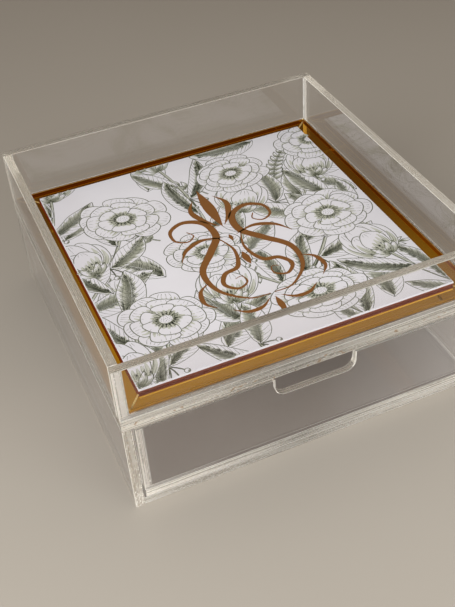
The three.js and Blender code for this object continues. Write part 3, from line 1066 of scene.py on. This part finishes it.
def ornament(centre):
    """A mirrored fleuron: two lyre scrolls, inner curls, a palmette on top and drops below."""
    halves = [
        ([(1.5, -62), (16, -60), (31, -44), (33, -22), (20, -4), (9, 12), (11, 30), (24, 38), (36, 32),
          (37, 20), (29, 15), (23, 20), (26, 26)], 0.8, 5.6),
        ([(9, 10), (4, -8), (9, -26), (20, -30), (25, -40), (18, -48), (10, -44), (11, -37),
          (16, -38)], 0.6, 3.6),
        ([(2, 22), (10, 34), (14, 48), (8, 60)], 0.3, 4.6),
        ([(5, 8), (20, 12), (34, 6), (42, -6)], 0.3, 3.6),
        ([(34, -34), (42, -40), (44, -52), (38, -60)], 0.3, 3.4),
        ([(4, -66), (12, -72), (22, -72), (30, -66)], 0.3, 3.2),
    ]
    lines = []
    for knots, thin, thick in halves:
        for mirror in (-1, 1):
            path = smooth_path([(mirror * x, y) for x, y in knots])
            lines.append(swelling(path, thin, thick))
    for knots, thick in (([(0, 20), (0, 44), (0, 72)], 8.5), ([(0, -66), (0, -74), (0, -84)], 4.6),
                         ([(0, -12), (0, -20), (0, -28)], 5.2), ([(0, 2), (0, 6), (0, 10)], 3.0)):
        lines.append(swelling(smooth_path(knots), 0.1, thick))
    return [[(centre[0] + x, centre[1] + y, size) for x, y, size in line] for line in lines]


def ribbons(name, lines, middle, height, material):
    """Turns pen lines, in millimetres from the panel's middle, into one flat mesh of ribbons."""
    nib = bpy.data.curves.new(name + "_nib", "CURVE")
    tip = nib.splines.new("POLY")
    tip.points.add(1)
    tip.points[0].co = (-0.5 * MM, 0, 0, 1)
    tip.points[1].co = (0.5 * MM, 0, 0, 1)
    nib_holder = bpy.data.objects.new(name + "_nib", nib)
    drawing = bpy.data.curves.new(name + "_lines", "CURVE")
    drawing.dimensions = "3D"
    drawing.twist_mode = "Z_UP"
    drawing.bevel_mode = "OBJECT"
    drawing.bevel_object = nib_holder
    for line in lines:
        kept = line[:-1:2] + line[-1:]
        spline = drawing.splines.new("POLY")
        spline.points.add(len(kept) - 1)
        for point, (x, y, width) in zip(spline.points, kept):
            point.co = (middle + x * MM, y * MM, height, 1)
            point.radius = width
    holder = bpy.data.objects.new(name + "_lines", drawing)
    bpy.context.scene.collection.objects.link(nib_holder)
    bpy.context.scene.collection.objects.link(holder)
    shown = holder.evaluated_get(bpy.context.evaluated_depsgraph_get())
    mesh = bpy.data.meshes.new_from_object(shown)
    for old in (holder, nib_holder):
        bpy.data.objects.remove(old)
    mesh.materials.clear()
    mesh.materials.append(material)
    piece = bpy.data.objects.new(name, mesh)
    bpy.context.scene.collection.objects.link(piece)
    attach(piece, "case")


def print_ink(name, thin, full):
    """Sage-green printing ink: matt, a little uneven in its load."""
    material, add = start_material(name)
    place = add("TexCoord")["Object"]
    load = add("TexNoise", {"Vector": place, "Scale": 1 / (9 * MM), "Detail": 3})["Fac"]
    load = add("MapRange", {"Value": load, "From Min": 0.35, "From Max": 0.65})[0]
    surface = add("BsdfPrincipled", {
        "Base Color": add("Mix", {0: load, 6: thin, 7: full}, data_type="RGBA")[2],
        "Roughness": 0.5,
    })[0]
    add("OutputMaterial", {"Surface": surface})
    return material


def print_foil():
    """Flat bronze-gold printing: a matt metallic brown with a fine grain."""
    material, add = start_material("bronze_gold_print")
    place = add("TexCoord")["Object"]
    grain = add("TexNoise", {"Vector": place, "Scale": 1 / (0.8 * MM), "Detail": 2})["Fac"]
    surface = add("BsdfPrincipled", {
        "Base Color": add("Mix", {0: grain, 6: srgb("#855628"), 7: srgb("#966331")}, data_type="RGBA")[2],
        "Metallic": 0.2,
        "Roughness": 0.5,
    })[0]
    add("OutputMaterial", {"Surface": surface})
    return material


def build_print():
    """The printed design: pale and deep washes and line art in sage ink, and the fleuron over them."""
    low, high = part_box("print_sheet")
    width, depth = (high[0] - low[0]) / MM, (high[1] - low[1]) / MM
    middle = (low[0] + high[0]) / 2
    marks = visible_marks(botanical(width, depth), width, depth)
    lines = marks["line"]
    half = len(lines) // 2
    ink = print_ink("sage_printing_ink", srgb("#6f7361"), srgb("#575c46"))
    deep = print_ink("deep_sage_wash", srgb("#c3c4b6"), srgb("#b5b7a5"))
    pale = print_ink("pale_sage_wash", srgb("#d2d3cb"), srgb("#c6c8bb"))
    ribbons("print_pale_wash", marks["pale"], middle, high[2] + PALE_LIFT, pale)
    ribbons("print_deep_wash", marks["deep"], middle, high[2] + DEEP_LIFT, deep)
    ribbons("print_line_art_back", lines[:half], middle, high[2] + INK_LIFT, ink)
    ribbons("print_line_art_front", lines[half:], middle, high[2] + INK_LIFT, ink)
    ribbons("print_fleuron", ornament(ORNAMENT_PLACE), middle, high[2] + FOIL_LIFT, print_foil())


def build_floor():
    """A plain pale floor, far larger than the view."""
    material, add = start_material("pale_satin_floor")
    place = add("TexCoord")["Object"]
    cloud = add("TexNoise", {"Vector": place, "Scale": 1 / CLOUD_SIZE, "Detail": 2})["Fac"]
    surface = add("BsdfPrincipled", {
        "Base Color": add("Mix", {0: cloud, 6: srgb("#aaa398"), 7: srgb("#b1aaa0")}, data_type="RGBA")[2],
        "Roughness": 0.32,
    })[0]
    add("OutputMaterial", {"Surface": surface})
    bpy.ops.mesh.primitive_plane_add(size=FLOOR_SIZE)
    floor = bpy.context.object
    floor.name = "floor"
    floor.data.materials.append(material)


def build_lamps():
    """Two low soft lamps, from the left and the front right, which reach in under the print and show
    in no gold or acrylic, and a small window lamp from the back left that does. Each has its place and
    size in metres, its power in watts and whether it shows."""
    lamps = [
        ("left_softbox", (-1.0, -0.48, 0.6), 0.7, 14.2, False),
        ("right_softbox", (0.55, -0.9, 0.36), 0.5, 9.5, False),
        ("window_softbox", (-1.3, 0.7, 0.9), 0.5, 1.2, True),
    ]
    for name, place, size, power, mirrored in lamps:
        lamp = bpy.data.lights.new(name, "AREA")
        lamp.shape = "SQUARE"
        lamp.size = size
        lamp.energy = power
        holder = bpy.data.objects.new(name, lamp)
        holder.location = place
        holder.rotation_mode = "QUATERNION"
        holder.rotation_quaternion = (-Vector(place)).to_track_quat("-Z", "Y")
        holder.visible_glossy = mirrored
        holder.visible_transmission = mirrored
        bpy.context.scene.collection.objects.link(holder)


def build_sky():
    """A room with a white ceiling: light overhead and dark all round below, while the camera itself
    sees a plain pale ground. Each colour takes over between two heights."""
    world = bpy.data.worlds.new("studio")
    bpy.context.scene.world = world
    world.use_nodes = True
    tree = world.node_tree
    tree.nodes.clear()
    add = partial(add_node, tree)
    up = add("SeparateXYZ", {"Vector": add("TexCoord")["Generated"]})["Z"]
    sky = srgb("#5f5146")
    for low, high, colour in ((0.56, 0.68, "#a8a299"), (0.68, 1.0, "#c2beb7")):
        higher = add("MapRange", {"Value": up, "From Min": low, "From Max": high})[0]
        sky = add("Mix", {0: higher, 6: sky, 7: srgb(colour)}, data_type="RGBA")[2]
    lit = add("Background", {"Color": sky, "Strength": 0.95})[0]
    seen = add("Background", {"Color": srgb("#dedad4"), "Strength": 1})[0]
    direct = add("LightPath")["Is Camera Ray"]
    add("OutputWorld", {"Surface": add("MixShader", {0: direct, 1: lit, 2: seen})[0]})


def build_camera():
    """The photograph's camera."""
    lens = bpy.data.cameras.new("photo_camera")
    lens.lens = CAMERA_LENS
    lens.sensor_width = SENSOR_WIDTH
    lens.clip_start = 0.01
    holder = bpy.data.objects.new("photo_camera", lens)
    holder.location = CAMERA_PLACE
    holder.rotation_mode = "QUATERNION"
    level = (CAMERA_AIM - CAMERA_PLACE).to_track_quat("-Z", "Y")
    holder.rotation_quaternion = level @ Quaternion((0, 0, 1), CAMERA_ROLL)
    bpy.context.scene.collection.objects.link(holder)
    bpy.context.scene.camera = holder


def set_render():
    """Plain colours, and enough bounces for light to cross a dozen clear sheets."""
    scene = bpy.context.scene
    scene.view_settings.view_transform = "Standard"
    scene.cycles.max_bounces = 32
    scene.cycles.transmission_bounces = 32
    scene.cycles.glossy_bounces = 8
    scene.cycles.transparent_max_bounces = 48
    scene.cycles.caustics_refractive = False
    scene.cycles.caustics_reflective = False


build_camera()
dress_frame_nodes()
build_border()
build_cement()
build_print()
build_floor()
build_lamps()
build_sky()
set_render()
